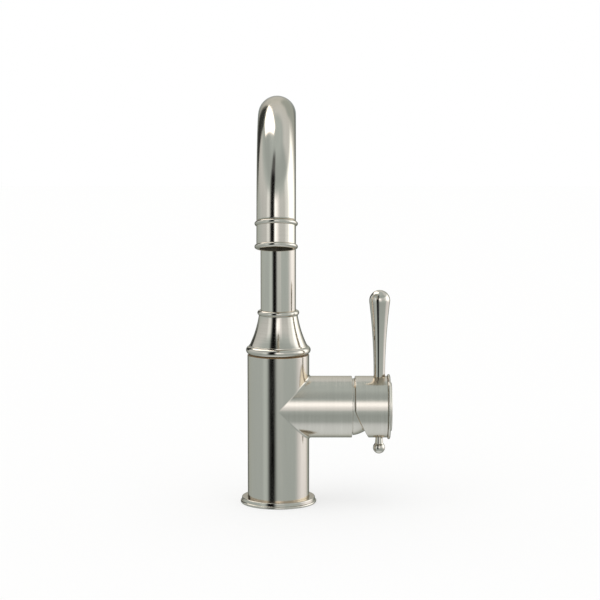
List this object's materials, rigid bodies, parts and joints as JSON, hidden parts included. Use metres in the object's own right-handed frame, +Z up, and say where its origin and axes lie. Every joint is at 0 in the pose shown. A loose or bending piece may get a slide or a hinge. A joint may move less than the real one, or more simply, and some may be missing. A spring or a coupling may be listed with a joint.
{
  "type": "tall basin mixer",
  "caption": "Tall single-lever basin mixer: upright body with a valve arm to one side, lever and ball on the arm's hub, and a swivelling swan-neck spout.",
  "frame": {"origin": "centre of the base flange's underside, where the mixer stands on the deck", "axes": "+Z up along the body; -Y towards the user, the way the spout reaches; +X along the valve arm"},
  "size_m": [0.1225, 0.2137, 0.391],
  "materials": {
    "satin_nickel": "warm satin nickel, brushed round the body and along the arm",
    "polished_nickel": "warm nickel, polished by hand",
    "plain_brass": "turned, unplated",
    "zinc_steel": "bright zinc",
    "black_rubber": "matt",
    "white_plastic": "moulded",
    "grey_plastic": "moulded",
    "brown_plastic": "moulded",
    "white_ceramic": "lapped flat"
  },
  "bodies": {
    "base": {"base_seal": "black_rubber", "base_flange": "satin_nickel", "body_casting": "satin_nickel", "fixing_stud": "zinc_steel", "horseshoe_gasket": "black_rubber", "horseshoe_plate": "zinc_steel", "fixing_nut": "plain_brass", "cartridge_base": "grey_plastic", "cartridge_seals": "black_rubber", "cartridge_housing": "white_plastic", "ceramic_disc_fixed": "white_ceramic", "cartridge_nut": "plain_brass", "dome_shroud": "polished_nickel", "glide_ring": "brown_plastic", "spout_stop_screw": "zinc_steel"},
    "rotor": {"cartridge_rotor": "plain_brass", "pivot_pin": "zinc_steel"},
    "disc": {"ceramic_disc_moving": "white_ceramic", "disc_carrier": "grey_plastic"},
    "handle": {"spindle": "zinc_steel", "lever_hub": "satin_nickel", "lever": "polished_nickel", "finial_screw": "polished_nickel", "hub_end_cap": "satin_nickel"},
    "spout": {"spout_spigot": "plain_brass", "spout_o_rings": "black_rubber", "bell_collar": "satin_nickel", "spout_tube": "satin_nickel", "nozzle_collar": "satin_nickel", "aerator_seal": "black_rubber", "aerator_housing": "plain_brass", "aerator_insert": "white_plastic", "aerator_screen": "zinc_steel"}
  },
  "joints": [
    {"name": "spout_swivel", "type": "hinge", "parent": "base", "child": "spout", "pos_m": [0, 0, 0.1213], "axis": [0, 0, 1], "range_deg": [-60, 60]},
    {"name": "temperature", "type": "hinge", "parent": "base", "child": "rotor", "pos_m": [0.0575, 0, 0.0785], "axis": [1, 0, 0], "range_deg": [-50, 50]},
    {"name": "flow", "type": "hinge", "parent": "rotor", "child": "handle", "pos_m": [0.0575, 0, 0.0785], "axis": [0, 1, 0], "range_deg": [0, 24]},
    {"name": "disc_slide", "type": "slide", "parent": "rotor", "child": "disc", "axis": [0, 0, 1], "range_m": [0, 0.0033]}
  ],
  "couplings": [
    {"joint": "disc_slide", "follows": "flow", "m_per_rad": 0.00777}
  ]
}
